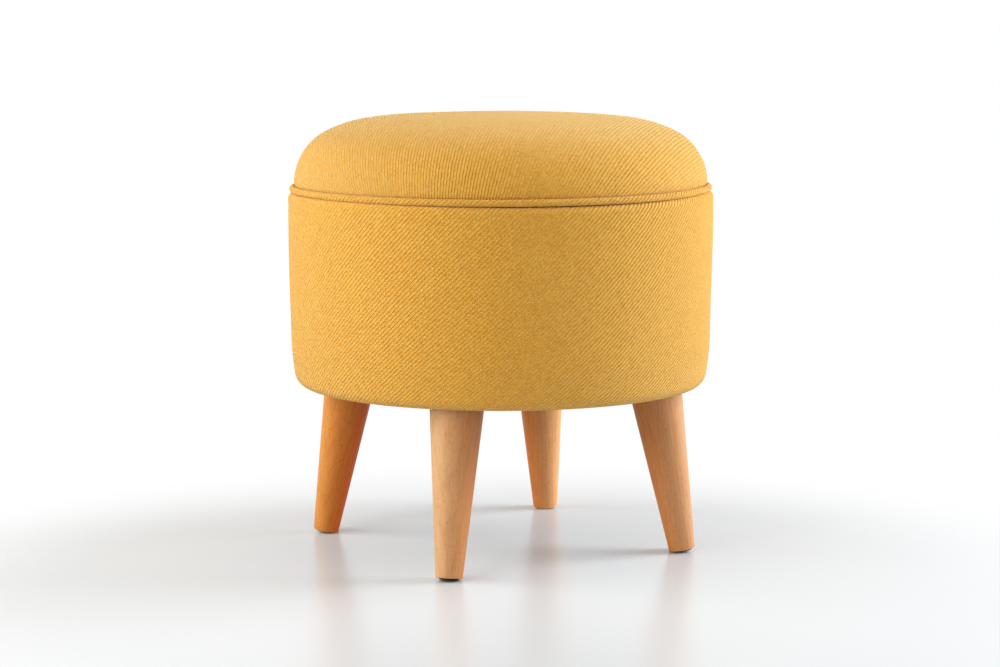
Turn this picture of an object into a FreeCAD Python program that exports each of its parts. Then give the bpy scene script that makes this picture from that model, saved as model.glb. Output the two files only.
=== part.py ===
import FreeCAD, Part
import math
import os

from FreeCAD import Placement, Rotation, Vector

# Round storage pouf: an upholstered drum on four splayed legs, with a padded lift-off lid.
# Millimetres and degrees. The origin is on the floor under the middle, +Z is up, and the
# front is -Y. The legs stand on the diagonals.

# Cloth and layers
fabric = 1.4              # twill of the drum cover, the lid cover and the piping strip
lining_cloth = 1.0        # thin cloth under the lid and round its plug
dust_cloth = 0.8          # black cloth under the base
layer_gap = 0.2           # air between neighbouring curved layers
lid_gap = 0.3             # air between the lid and the drum it lies on

# Legs
leg_length = 151.8
leg_top_radius = 24.4
leg_foot_radius = 12.3
leg_splay = 10.0          # lean of each leg, outwards
leg_edge = 1.0            # chamfer on both ends of a leg
leg_angles = {"back_right": 45, "back_left": 135, "front_left": 225, "front_right": 315}

# Glides under the feet
glide_radius = 9.0
glide_thickness = 1.2
glide_wear = 0.5              # depth of the flat that stands on the floor
nail_radius = 1.5
nail_length = 13.0            # driven into the leg
nail_clearance = 0.1

# Leg plates and their fasteners
plate_side = 48.0
plate_thickness = 2.0
plate_corner = 8.0
plate_rim_clearance = 0.8     # from a plate's corner to the padded rim round the base
plate_leg_clearance = 0.6     # from the plate to the high edge of a leg's top
boss_radius = 13.0            # tilted boss where it meets the leg
boss_draft = 20.0             # slope of the boss's side
bolt_radius = 4.0
bolt_depth_in_leg = 31.0
bolt_reach_above_leg = 18.0
bolt_clearance = 0.1
bore_end_clearance = 1.0      # beyond the end of a bolt or nail in its bore
bolt_hole_radius = 7.0        # loose hole for the bolt's end in the base and its cloths
plate_screw_radius = 2.0
plate_screw_head_radius = 4.0
plate_screw_length = 15.0
plate_screw_inset = 7.0       # from the plate's edges
screw_clearance = 0.15

# Drum
drum_radius = 200.0           # over the cover, under the lid
drum_taper = 2.3              # draw-in of the side towards its foot
drum_frame_height = 172.5     # underside of the base to the top of the ring
drum_top_round = 6.0
drum_bottom_round = 12.0
drum_pull_radius = 230.0      # sweep of the side where the cover is pulled in above its foot
drum_pull_turn = 10.0         # where that sweep gives way to the round of the foot
side_foam = 12.0
rim_foam = 4.9                # foam pulled under the base's edge
rim_width = 20.7              # how far that foam reaches in from the drum's side
wall_thickness = 4.0
board_thickness = 18.0        # base and ring
glue_gap = 0.2                # between the wall and the boards inside it
wall_joint = 1.0              # open joint of the wrapped wall, on the back post
liner_thickness = 2.0
liner_collar = 7.5            # liner turned out over the ring
floor_cloth = 1.5
post_count = 6
post_width = 30.0
post_depth = 19.7             # between the wall and the liner
post_clearance = 0.5
cover_turn_under = 64.0       # cover under the base, in from the rim
dust_cover_margin = 3.5       # from the dust cover's edge to the rim

# Frame screws, two to each post
frame_screw_radius = 2.5
frame_screw_head_radius = 5.0
frame_screw_length = 45.0

# Lid
lid_set_back = 6.4            # lid's side behind the drum's side
lid_rise = 74.1               # from the drum's top to the crown
lid_corner = 6.0              # rounded lower edge of the cover
lid_side_radius = 52.7        # lower shoulder of the dome
lid_side_turn = 62.3          # where the lower shoulder gives way to the upper one
lid_crown_turn = 86.2         # where the upper shoulder gives way to the crown
lid_board_thickness = 15.0
lid_board_edge = 4.0
lid_board_set_back = 0.5      # board's edge behind the foam's edge
wadding = 4.0
wadding_hem = 3.0             # wadding ends this far above the board's underside
lid_cover_turn_under = 24.0
piping_radius = 3.2
piping_clearance = 0.15       # between the piping and its neighbours
piping_seat = 40.0            # how far below level the piping touches the lid's edge
piping_tail = 18.0            # width of the piping strip's flat part
lid_lining_inset = 9.0        # lining's edge, in from the lid's side
plug_clearance = 3.0          # between the plug and the drum's mouth
plug_thickness = 15.0
plug_turn_over = 20.0         # plug cover over the top of the plug
plug_screw_radius = 2.5
plug_screw_head_radius = 5.0
plug_screw_length = 30.0
plug_screw_circle = 90.0
plug_screw_count = 4

# Staples
staple_width = 10.0
staple_leg = 8.0
staple_wire = 1.0
staple_crown = 0.6
staple_margin = 3.5           # from the edge of the cloth that a staple holds
cover_staple_count = 24       # in each ring on the drum
wall_staple_count = 12        # at each edge of the wall
lid_staple_count = 30
lining_staple_count = 24
dust_staple_step = 12         # between the legs, five steps to each side of the base
dust_staple_span = 30

# Heights, from the floor up
splay_sine = math.sin(math.radians(leg_splay))
splay_cosine = math.cos(math.radians(leg_splay))
glide_face_z = glide_radius * splay_sine - glide_wear
leg_top_z = glide_face_z + (leg_length + glide_thickness) * splay_cosine
plate_under_z = leg_top_z + leg_top_radius * splay_sine + plate_leg_clearance
dust_under_z = plate_under_z + plate_thickness
base_z = dust_under_z + dust_cloth + fabric
base_top_z = base_z + board_thickness
ring_top_z = base_z + drum_frame_height
ring_under_z = ring_top_z - board_thickness
drum_top_z = ring_top_z + fabric
drum_under_z = base_z - rim_foam - layer_gap - fabric
lid_under_z = drum_top_z + lid_gap
tail_z = lid_under_z + lining_cloth
lid_cover_z = tail_z + 2 * fabric
lid_board_z = lid_cover_z + fabric
lid_board_top_z = lid_board_z + lid_board_thickness
lid_side_z = lid_cover_z + lid_corner
crown_z = drum_top_z + lid_rise
plug_top_z = lid_board_z - lining_cloth - lining_cloth
plug_under_z = plug_top_z - plug_thickness

# Radii
wall_outer = drum_radius - fabric - layer_gap - side_foam - layer_gap
wall_inner = wall_outer - wall_thickness
board_radius = wall_inner - glue_gap
post_outer = math.sqrt(board_radius ** 2 - (post_width / 2) ** 2) - post_clearance
post_inner = post_outer - post_depth
post_middle = (post_inner + post_outer) / 2
ring_inner = post_inner - post_clearance
liner_outer = ring_inner - glue_gap
mouth_radius = liner_outer - liner_thickness
collar_radius = mouth_radius + liner_collar
cover_top_edge = collar_radius + layer_gap
foot_radius = drum_radius - drum_taper
rim_foam_inner = foot_radius - rim_width
rim_centre = rim_foam_inner + rim_foam
rim_cover_inner = rim_foam_inner - layer_gap - fabric
turn_under_radius = rim_cover_inner - cover_turn_under
dust_radius = rim_cover_inner - dust_cover_margin
plug_radius = mouth_radius - plug_clearance
lid_radius = drum_radius - lid_set_back

# A leg stands as far out as its plate's rounded corners leave room beside the rim.
plate_reach = rim_cover_inner - plate_rim_clearance - plate_corner
plate_half_flat = plate_side / 2 - plate_corner
leg_circle = math.sqrt(plate_reach ** 2 - plate_half_flat ** 2) - plate_half_flat

# Centres of the lid's arcs. The upper shoulder and the crown follow from the lid's width
# and rise, so that all three arcs meet smoothly and the crown ends level on the axis.
lid_corner_centre = (lid_radius - lid_corner, lid_side_z)
side_turn = math.radians(lid_side_turn)
crown_turn = math.radians(lid_crown_turn)
left_across = lid_radius - lid_side_radius * (1 - math.cos(side_turn))
left_up = crown_z - lid_side_z - lid_side_radius * math.sin(side_turn)
shoulder_across = math.cos(side_turn) - math.cos(crown_turn)
shoulder_up = math.sin(crown_turn) - math.sin(side_turn)
crown_across = math.cos(crown_turn)
crown_up = 1 - math.sin(crown_turn)
lid_mix = shoulder_across * crown_up - crown_across * shoulder_up
lid_shoulder_radius = (left_across * crown_up - crown_across * left_up) / lid_mix
lid_crown_radius = (shoulder_across * left_up - left_across * shoulder_up) / lid_mix
side_centre = (lid_radius - lid_side_radius, lid_side_z)
shoulder_centre = (
    side_centre[0] + (lid_side_radius - lid_shoulder_radius) * math.cos(side_turn),
    side_centre[1] + (lid_side_radius - lid_shoulder_radius) * math.sin(side_turn),
)
crown_centre = (0.0, crown_z - lid_crown_radius)

# The piping lies in the corner under the lid's rounded edge.
piping_reach = lid_corner + piping_radius + piping_clearance
piping_turn = math.radians(piping_seat)
piping_centre = (
    lid_corner_centre[0] + piping_reach * math.cos(piping_turn),
    lid_corner_centre[1] - piping_reach * math.sin(piping_turn),
)

drum_top_centre = (drum_radius - drum_top_round, drum_top_z - drum_top_round)
pull_turn = math.radians(drum_pull_turn)
pull_reach = drum_pull_radius - drum_bottom_round
drum_foot_z = drum_under_z + drum_bottom_round
drum_pull_centre = (foot_radius - drum_pull_radius, drum_foot_z + pull_reach * math.sin(pull_turn))
drum_foot_centre = (drum_pull_centre[0] + pull_reach * math.cos(pull_turn), drum_foot_z)
under_rim_centre = (rim_centre, base_z)


class Outline:
    """A closed outline in the half plane of radius and height, drawn point by point."""

    def __init__(self, radius, height):
        self.start = Vector(radius, 0, height)
        self.pen = self.start
        self.edges = []

    def line(self, radius, height):
        end = Vector(radius, 0, height)
        self.edges.append(Part.LineSegment(self.pen, end).toShape())
        self.pen = end
        return self

    def arc(self, centre, to_angle):
        """An arc about a centre, from the pen to a polar angle under a half turn away."""
        across = self.pen.x - centre[0]
        up = self.pen.z - centre[1]
        radius = math.hypot(across, up)
        from_angle = math.degrees(math.atan2(up, across))
        if from_angle - to_angle > 180:
            from_angle -= 360
        middle = polar(centre, radius, (from_angle + to_angle) / 2)
        end = polar(centre, radius, to_angle)
        self.edges.append(Part.Arc(self.pen, middle, end).toShape())
        self.pen = end
        return self

    def face(self):
        self.line(self.start.x, self.start.z)
        return Part.Face(Part.Wire(self.edges))

    def turned(self, angle=360.0):
        """The solid that the outline makes when it turns about the pouf's axis."""
        return self.face().revolve(Vector(0, 0, 0), Vector(0, 0, 1), angle)


def polar(centre, radius, angle):
    turn = math.radians(angle)
    return Vector(centre[0] + radius * math.cos(turn), 0, centre[1] + radius * math.sin(turn))


def tube(inner, outer, low, high):
    return Outline(inner, low).line(outer, low).line(outer, high).line(inner, high).turned()


def disc(radius, low, high):
    return Part.makeCylinder(radius, high - low, Vector(0, 0, low))


def about_axis(shape, angle):
    turned = shape.copy()
    turned.rotate(Vector(0, 0, 0), Vector(0, 0, 1), angle)
    return turned


def ring_of(shape, angles):
    return Part.makeCompound([about_axis(shape, angle) for angle in angles])


def even_angles(count, first=0.0):
    return [first + 360.0 * step / count for step in range(count)]


def on_leg(shape, angle):
    """Seat a shape drawn along a leg's axis, with the leg's top at its origin."""
    seated = shape.copy()
    lean = Rotation(Vector(0, 1, 0), -leg_splay)
    seated.Placement = Placement(Vector(leg_circle, 0, leg_top_z), lean)
    return about_axis(seated, angle)


def countersunk_screw(radius, head_radius, length, slack=0.0):
    """A screw that points up, with the flat of its head at the origin."""
    taper = head_radius - radius
    head = Part.makeCone(head_radius + slack, radius + slack, taper)
    shank = Part.makeCylinder(radius + slack, length)
    return head.fuse(shank).removeSplitter()


def staple():
    """A staple that points up, with the outside of its crown at the origin."""
    corner = Vector(-staple_wire / 2, -staple_width / 2, 0)
    crown = Part.makeBox(staple_wire, staple_width, staple_crown, corner)
    near = Part.makeBox(staple_wire, staple_crown, staple_leg, corner)
    far = near.translated(Vector(0, staple_width - staple_crown, 0))
    return crown.fuse([near, far]).removeSplitter()


def staples_up(radius, height, angles):
    return ring_of(staple().translated(Vector(radius, 0, height)), angles)


def staples_down(radius, height, angles):
    turned = staple()
    turned.rotate(Vector(0, 0, 0), Vector(0, 1, 0), 180)
    return ring_of(turned.translated(Vector(radius, 0, height)), angles)


def staples_in(radius, height, angles):
    turned = staple()
    turned.rotate(Vector(0, 0, 0), Vector(0, 1, 0), -90)
    return ring_of(turned.translated(Vector(radius, 0, height)), angles)


# Lid

def dome_up(outline):
    """Follow the dome from the outline's pen on its side up to the axis."""
    outline.arc(side_centre, lid_side_turn)
    outline.arc(shoulder_centre, lid_crown_turn)
    return outline.arc(crown_centre, 90)


def dome_down(outline):
    """Follow the dome from the outline's pen on the axis down to the foot of its side."""
    outline.arc(crown_centre, lid_crown_turn)
    outline.arc(shoulder_centre, lid_side_turn)
    return outline.arc(side_centre, 0)


def lid_cover():
    edge = lid_corner_centre[0] - lid_cover_turn_under
    outline = Outline(edge, lid_cover_z).line(lid_corner_centre[0], lid_cover_z)
    outline.arc(lid_corner_centre, 0)
    dome_up(outline)
    outline.line(0, crown_z - fabric)
    dome_down(outline)
    outline.arc(lid_corner_centre, -90)
    outline.line(edge, lid_board_z)
    return outline.turned()


wadding_inset = fabric + layer_gap
foam_inset = wadding_inset + wadding + layer_gap
foam_side_radius = lid_side_radius - foam_inset
foam_angle = math.degrees(math.asin((lid_board_top_z - lid_side_z) / foam_side_radius))
foam_edge = polar(side_centre, foam_side_radius, foam_angle)
lid_board_radius = foam_edge.x - lid_board_set_back


def lid_wadding():
    hem_z = lid_board_z + wadding_hem
    hem_radius = lid_corner - wadding_inset
    hem_angle = -math.degrees(math.asin((lid_side_z - hem_z) / hem_radius))
    hem = polar(lid_corner_centre, hem_radius, hem_angle)
    inner = lid_radius - wadding_inset - wadding
    outline = Outline(inner, hem_z).line(hem.x, hem_z)
    outline.arc(lid_corner_centre, 0)
    dome_up(outline)
    outline.line(0, crown_z - wadding_inset - wadding)
    dome_down(outline)
    return outline.turned()


def lid_foam():
    outline = Outline(0, lid_board_top_z).line(foam_edge.x, lid_board_top_z)
    return dome_up(outline).turned()


def lid_board():
    board = disc(lid_board_radius, lid_board_z, lid_board_top_z)
    low_edge = [edge for edge in board.Edges if edge.BoundBox.ZMax < lid_board_top_z]
    return board.makeFillet(lid_board_edge, low_edge)


def lid_piping_sleeve():
    path = Part.makeTorus(piping_centre[0], piping_radius, Vector(0, 0, piping_centre[1]))
    tail = tube(piping_centre[0] - piping_tail, piping_centre[0], tail_z, lid_cover_z)
    bore = Part.makeTorus(piping_centre[0], piping_radius - fabric, Vector(0, 0, piping_centre[1]))
    return path.fuse(tail).removeSplitter().cut(bore)


def lid_piping_cord():
    radius = piping_radius - fabric - layer_gap
    return Part.makeTorus(piping_centre[0], radius, Vector(0, 0, piping_centre[1]))


def lid_lining():
    """One cloth: against the board in the middle, stepped down over the piping's tail."""
    step = lid_corner_centre[0] - lid_cover_turn_under - layer_gap
    edge = lid_radius - lid_lining_inset
    under_board_z = lid_board_z - lining_cloth
    outline = Outline(0, under_board_z).line(step - lining_cloth, under_board_z)
    outline.line(step - lining_cloth, lid_under_z).line(edge, lid_under_z).line(edge, tail_z)
    outline.line(step, tail_z).line(step, lid_board_z).line(0, lid_board_z)
    return outline.turned()


def lid_plug_screws(slack=0.0):
    screw = countersunk_screw(plug_screw_radius, plug_screw_head_radius, plug_screw_length, slack)
    place = Vector(plug_screw_circle, 0, plug_under_z - lining_cloth)
    return ring_of(screw.translated(place), even_angles(plug_screw_count, 45))


def lid_plug_board():
    return disc(plug_radius - lining_cloth, plug_under_z, plug_top_z).cut(lid_plug_screws(screw_clearance))


def lid_plug_cover():
    inner = plug_radius - lining_cloth
    turned = inner - plug_turn_over
    outline = Outline(0, plug_under_z - lining_cloth).line(plug_radius, plug_under_z - lining_cloth)
    outline.line(plug_radius, plug_top_z + lining_cloth).line(turned, plug_top_z + lining_cloth)
    outline.line(turned, plug_top_z).line(inner, plug_top_z).line(inner, plug_under_z)
    outline.line(0, plug_under_z)
    return outline.turned().cut(lid_plug_screws(screw_clearance))


def lid_cover_staples():
    radius = piping_centre[0] - piping_tail + staple_margin / 2
    return staples_up(radius, tail_z, even_angles(lid_staple_count))


def lid_lining_staples():
    radius = lid_radius - lid_lining_inset - staple_margin / 2
    return staples_up(radius, lid_under_z, even_angles(lining_staple_count))


# Drum

def drum_cover():
    """One shell: in over the ring, down the side, round the rim and in under the base."""
    rim_turn = math.degrees(math.asin(fabric / (rim_foam + layer_gap + fabric)))
    outline = Outline(cover_top_edge, drum_top_z).line(drum_top_centre[0], drum_top_z)
    outline.arc(drum_top_centre, 0)
    outline.line(foot_radius, drum_pull_centre[1])
    outline.arc(drum_pull_centre, -drum_pull_turn)
    outline.arc(drum_foot_centre, -90)
    outline.line(rim_centre, drum_under_z)
    outline.arc(under_rim_centre, rim_turn - 180)
    outline.line(turn_under_radius, base_z - fabric).line(turn_under_radius, base_z)
    outline.line(rim_foam_inner - layer_gap, base_z)
    outline.arc(under_rim_centre, -90)
    outline.line(drum_foot_centre[0], drum_under_z + fabric)
    outline.arc(drum_foot_centre, -drum_pull_turn)
    outline.arc(drum_pull_centre, 0)
    outline.line(drum_radius - fabric, drum_top_centre[1])
    outline.arc(drum_top_centre, 90)
    outline.line(cover_top_edge, ring_top_z)
    return outline.turned().cut(bolt_holes())


def drum_foam():
    inner = wall_outer + layer_gap
    inset = fabric + layer_gap
    outline = Outline(inner, ring_top_z - layer_gap)
    outline.line(drum_top_centre[0], ring_top_z - layer_gap)
    outline.arc(drum_top_centre, 0)
    outline.line(foot_radius - inset, drum_pull_centre[1])
    outline.arc(drum_pull_centre, -drum_pull_turn)
    outline.arc(drum_foot_centre, -90)
    outline.line(rim_centre, base_z - rim_foam)
    outline.arc(under_rim_centre, -180)
    outline.line(inner, base_z)
    return outline.turned()


def drum_wall():
    """A wrapped sheet whose two ends meet at the back, on a post."""
    outline = Outline(wall_inner, base_z).line(wall_outer, base_z)
    outline.line(wall_outer, ring_top_z).line(wall_inner, ring_top_z)
    open_angle = math.degrees(wall_joint / wall_outer)
    return about_axis(outline.turned(360 - open_angle), 90 + open_angle / 2)


def post_angles():
    return even_angles(post_count, 90)


def post_screws(angle, slack):
    """The two screws of one post: down through the ring and up through the base."""
    low = countersunk_screw(frame_screw_radius, frame_screw_head_radius, frame_screw_length, slack)
    high = low.copy()
    high.rotate(Vector(0, 0, 0), Vector(1, 0, 0), 180)
    low.translate(Vector(post_middle, 0, base_z))
    high.translate(Vector(post_middle, 0, ring_top_z))
    return [about_axis(low, angle), about_axis(high, angle)]


def frame_screws(slack=0.0):
    return Part.makeCompound([screw for angle in post_angles() for screw in post_screws(angle, slack)])


def bolt_holes():
    hole = Part.makeCylinder(bolt_hole_radius, bolt_reach_above_leg + bore_end_clearance)
    return Part.makeCompound([on_leg(hole, angle) for angle in leg_angles.values()])


def base_board():
    return disc(board_radius, base_z, base_top_z).cut([bolt_holes(), frame_screws(screw_clearance)])


def top_ring():
    return tube(ring_inner, board_radius, ring_under_z, ring_top_z).cut(frame_screws(screw_clearance))


def frame_post(angle):
    size = (post_outer - post_inner, post_width, ring_under_z - base_top_z)
    post = Part.makeBox(*size, Vector(post_inner, -post_width / 2, base_top_z))
    return about_axis(post, angle)


def wall_lining():
    """A board tube faced with cloth, turned out over the ring at its top."""
    low = base_top_z + floor_cloth
    outline = Outline(mouth_radius, low).line(liner_outer, low).line(liner_outer, ring_top_z)
    outline.line(collar_radius, ring_top_z).line(collar_radius, drum_top_z)
    return outline.line(mouth_radius, drum_top_z).turned()


def floor_lining():
    return disc(liner_outer, base_top_z, base_top_z + floor_cloth)


def dust_cover():
    """One cloth: against the base in the middle, stepped down over the cover's edge."""
    step = turn_under_radius - layer_gap
    outline = Outline(0, base_z - dust_cloth).line(step - dust_cloth, base_z - dust_cloth)
    outline.line(step - dust_cloth, dust_under_z).line(dust_radius, dust_under_z)
    outline.line(dust_radius, dust_under_z + dust_cloth).line(step, dust_under_z + dust_cloth)
    outline.line(step, base_z).line(0, base_z)
    return outline.turned().cut(bolt_holes())


def cover_staples():
    radius = turn_under_radius + staple_margin
    return staples_up(radius, base_z - fabric, even_angles(cover_staple_count))


def dust_cover_staples():
    steps = range(-dust_staple_span, dust_staple_span + 1, dust_staple_step)
    between_legs = [angle - 45 + step for angle in leg_angles.values() for step in steps]
    return staples_up(dust_radius - staple_margin, dust_under_z, between_legs)


def ring_staples():
    between = 180.0 / cover_staple_count
    collar_middle = (ring_inner + collar_radius) / 2
    collar = staples_down(collar_middle, drum_top_z, even_angles(cover_staple_count))
    cover_edge = cover_top_edge + staple_margin
    cover = staples_down(cover_edge, drum_top_z, even_angles(cover_staple_count, between))
    return Part.makeCompound(collar.Solids + cover.Solids)


def wall_staples():
    angles = even_angles(wall_staple_count)
    high = staples_in(wall_outer, ring_top_z - board_thickness / 2, angles)
    low = staples_in(wall_outer, base_z + board_thickness / 2, angles)
    return Part.makeCompound(high.Solids + low.Solids)


# Legs and what holds them

def leg(angle):
    foot = -leg_length
    outline = Outline(0, 0).line(leg_top_radius - leg_edge, 0).line(leg_top_radius, -leg_edge)
    outline.line(leg_foot_radius, foot + leg_edge).line(leg_foot_radius - leg_edge, foot).line(0, foot)
    bolt_end = bolt_depth_in_leg + bore_end_clearance
    bolt_bore = Part.makeCylinder(bolt_radius + bolt_clearance, bolt_end, Vector(0, 0, -bolt_end))
    nail_end = nail_length + bore_end_clearance
    nail_bore = Part.makeCylinder(nail_radius + nail_clearance, nail_end, Vector(0, 0, foot))
    return on_leg(outline.turned().cut([bolt_bore, nail_bore]), angle)


def foot_glide(angle):
    face = -leg_length - glide_thickness
    pad = Part.makeCylinder(glide_radius, glide_thickness, Vector(0, 0, face))
    nail = Part.makeCylinder(nail_radius, glide_thickness + nail_length, Vector(0, 0, face))
    floor = disc(2 * drum_radius, -drum_radius, 0)
    return on_leg(pad.fuse(nail).removeSplitter(), angle).cut(floor)


def plate_screw_places():
    reach = plate_side / 2 - plate_screw_inset
    return [
        Vector(leg_circle + across * reach, along * reach, plate_under_z)
        for across in (-1, 1)
        for along in (-1, 1)
    ]


def plate_screw_set(angle, slack=0.0):
    screw = countersunk_screw(plate_screw_radius, plate_screw_head_radius, plate_screw_length, slack)
    return [about_axis(screw.translated(place), angle) for place in plate_screw_places()]


def leg_plate(angle):
    """A square plate with a tilted boss that takes the leg's bolt square to the leg's top."""
    corner = Vector(leg_circle - plate_side / 2, -plate_side / 2, plate_under_z)
    flange = Part.makeBox(plate_side, plate_side, plate_thickness, corner)
    uprights = [edge for edge in flange.Edges if edge.BoundBox.ZLength > plate_thickness / 2]
    flange = about_axis(flange.makeFillet(plate_corner, uprights), angle)
    height = plate_under_z - leg_top_z + leg_top_radius * splay_sine
    wide = boss_radius + height * math.tan(math.radians(boss_draft))
    below = disc(2 * drum_radius, 0, plate_under_z + plate_thickness / 2)
    boss = on_leg(Part.makeCone(boss_radius, wide, height), angle).common(below)
    bore = on_leg(Part.makeCylinder(bolt_radius + bolt_clearance, 2 * bolt_reach_above_leg), angle)
    holes = plate_screw_set(angle, screw_clearance)
    return flange.fuse(boss).removeSplitter().cut([bore] + holes)


def plate_screws():
    return Part.makeCompound([screw for angle in leg_angles.values() for screw in plate_screw_set(angle)])


def hanger_bolts():
    length = bolt_depth_in_leg + bolt_reach_above_leg
    bolt = Part.makeCylinder(bolt_radius, length, Vector(0, 0, -bolt_depth_in_leg))
    return Part.makeCompound([on_leg(bolt, angle) for angle in leg_angles.values()])


def all_nodes():
    nodes = {
        "lid_cover": lid_cover(),
        "lid_wadding": lid_wadding(),
        "lid_foam": lid_foam(),
        "lid_board": lid_board(),
        "lid_piping_sleeve": lid_piping_sleeve(),
        "lid_piping_cord": lid_piping_cord(),
        "lid_lining": lid_lining(),
        "lid_plug_board": lid_plug_board(),
        "lid_plug_cover": lid_plug_cover(),
        "lid_plug_screws": lid_plug_screws(),
        "lid_cover_staples": lid_cover_staples(),
        "lid_lining_staples": lid_lining_staples(),
        "drum_cover": drum_cover(),
        "drum_foam": drum_foam(),
        "drum_wall": drum_wall(),
        "top_ring": top_ring(),
        "base_board": base_board(),
        "frame_screws": frame_screws(),
        "wall_lining": wall_lining(),
        "floor_lining": floor_lining(),
        "dust_cover": dust_cover(),
        "cover_staples": cover_staples(),
        "dust_cover_staples": dust_cover_staples(),
        "ring_staples": ring_staples(),
        "wall_staples": wall_staples(),
        "plate_screws": plate_screws(),
        "hanger_bolts": hanger_bolts(),
    }
    for number, angle in enumerate(post_angles(), start=1):
        nodes[f"frame_post_{number}"] = frame_post(angle)
    for side, angle in leg_angles.items():
        nodes[f"leg_{side}"] = leg(angle)
        nodes[f"leg_plate_{side}"] = leg_plate(angle)
        nodes[f"foot_glide_{side}"] = foot_glide(angle)
    return nodes


os.makedirs("parts", exist_ok=True)
for name, shape in all_nodes().items():
    shape.exportStep(f"parts/{name}.step")
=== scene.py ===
import math

import bmesh
import bpy
from mathutils import Matrix, Vector, noise


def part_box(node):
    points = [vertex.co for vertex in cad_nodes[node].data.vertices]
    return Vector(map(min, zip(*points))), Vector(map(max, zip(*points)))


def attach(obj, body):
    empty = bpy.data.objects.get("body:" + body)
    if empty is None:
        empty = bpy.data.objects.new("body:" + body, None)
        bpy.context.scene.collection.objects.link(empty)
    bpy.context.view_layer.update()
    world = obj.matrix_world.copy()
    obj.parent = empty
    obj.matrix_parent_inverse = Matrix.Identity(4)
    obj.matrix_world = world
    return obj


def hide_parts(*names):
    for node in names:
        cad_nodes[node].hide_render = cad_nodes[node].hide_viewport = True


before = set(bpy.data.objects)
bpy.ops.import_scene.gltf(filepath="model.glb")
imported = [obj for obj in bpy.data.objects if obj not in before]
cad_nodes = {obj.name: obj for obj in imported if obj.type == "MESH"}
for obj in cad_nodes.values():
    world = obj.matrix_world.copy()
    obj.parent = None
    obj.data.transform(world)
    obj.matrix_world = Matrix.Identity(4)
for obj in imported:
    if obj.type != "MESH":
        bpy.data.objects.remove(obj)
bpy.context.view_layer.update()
scene = bpy.context.scene

LEG_ANGLES = {"back_right": 45, "back_left": 135, "front_left": 225, "front_right": 315}
BACK = math.radians(90)          # the sewn joins lie at the back


# Shader arithmetic

class Value:
    """A shader socket that Python's operators work on by adding Math nodes."""

    def __init__(self, nodes, socket):
        self.nodes = nodes
        self.socket = socket

    def __add__(self, other):
        return self.nodes.maths("ADD", self, other)

    def __radd__(self, other):
        return self.nodes.maths("ADD", other, self)

    def __sub__(self, other):
        return self.nodes.maths("SUBTRACT", self, other)

    def __rsub__(self, other):
        return self.nodes.maths("SUBTRACT", other, self)

    def __mul__(self, other):
        return self.nodes.maths("MULTIPLY", self, other)

    def __rmul__(self, other):
        return self.nodes.maths("MULTIPLY", other, self)

    def __truediv__(self, other):
        return self.nodes.maths("DIVIDE", self, other)

    def __rtruediv__(self, other):
        return self.nodes.maths("DIVIDE", other, self)

    def __mod__(self, other):
        return self.nodes.maths("FLOORED_MODULO", self, other)


class Nodes:
    """A node tree under construction."""

    def __init__(self, tree):
        self.tree = tree
        tree.nodes.clear()

    def node(self, kind, settings=None, inputs=None, output=0):
        made = self.tree.nodes.new(kind)
        for name, value in (settings or {}).items():
            if name == "stops":
                stops = made.color_ramp.elements
                while len(stops) < len(value):
                    stops.new(1.0)
                for stop, (place, colour) in zip(stops, value):
                    stop.position = place
                    stop.color = (*colour, 1.0)
            else:
                setattr(made, name, value)
        for name, value in (inputs or {}).items():
            socket = made.inputs[name]
            if isinstance(value, Value):
                self.tree.links.new(value.socket, socket)
            else:
                socket.default_value = (*value, 1.0) if socket.type == "RGBA" else value
        return Value(self, made.outputs[output]) if made.outputs else None

    def maths(self, operation, *values):
        return self.node("ShaderNodeMath", {"operation": operation}, dict(enumerate(values)))

    def split(self, vector):
        parts = self.node("ShaderNodeSeparateXYZ", inputs={0: vector}).socket.node.outputs
        return [Value(self, part) for part in parts]

    def join(self, x, y, z=0.0):
        return self.node("ShaderNodeCombineXYZ", inputs={0: x, 1: y, 2: z})

    def noise(self, vector, scale, detail=2.0, roughness=0.5, output="Fac"):
        return self.node("ShaderNodeTexNoise", inputs={
            "Vector": vector, "Scale": scale, "Detail": detail, "Roughness": roughness}, output=output)

    def chance(self, x, y):
        """A chance value from 0 to 1 for each whole x and y."""
        return self.node("ShaderNodeTexWhiteNoise", {"noise_dimensions": "2D"}, {
            "Vector": self.join(x, y)})

    def smooth(self, value, low, high):
        """0 below low, 1 above high, and an eased step between them."""
        return self.node("ShaderNodeMapRange", {"interpolation_type": "SMOOTHSTEP"}, {
            "Value": value, "From Min": low, "From Max": high})

    def mix(self, factor, first, second):
        """Two colours mixed: a Mix node takes them at inputs 6 and 7 and gives a colour at output 2."""
        return self.node("ShaderNodeMix", {"data_type": "RGBA"}, {0: factor, 6: first, 7: second}, 2)

    def bump(self, height, distance):
        return self.node("ShaderNodeBump", inputs={"Height": height, "Distance": distance})

    def seen(self):
        """1 for what the camera sees, also in gloss or through glass, and 0 for light on its way."""
        rays = self.node("ShaderNodeLightPath").socket.node.outputs
        camera, gloss, glass = (
            Value(self, rays[f"Is {kind} Ray"]) for kind in ("Camera", "Glossy", "Transmission"))
        return self.maths("MAXIMUM", self.maths("MAXIMUM", camera, gloss), glass)


class Finish(Nodes):
    """A material that ends in one Principled shader."""

    def __init__(self, name):
        self.material = bpy.data.materials.new(name)
        self.material.use_nodes = True
        super().__init__(self.material.node_tree)

    def place(self):
        return self.node("ShaderNodeTexCoord", output="Object")

    def cloth_place(self):
        return self.node("ShaderNodeUVMap", {"uv_map": "cloth"})

    def surface(self, sockets):
        shader = self.node("ShaderNodeBsdfPrincipled", inputs=sockets)
        self.node("ShaderNodeOutputMaterial", inputs={"Surface": shader})
        return self.material


# Finishes

YARN = 0.0011                    # between neighbouring yarns of the twill
REPEAT = 4                       # yarns after which the twill repeats


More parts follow.
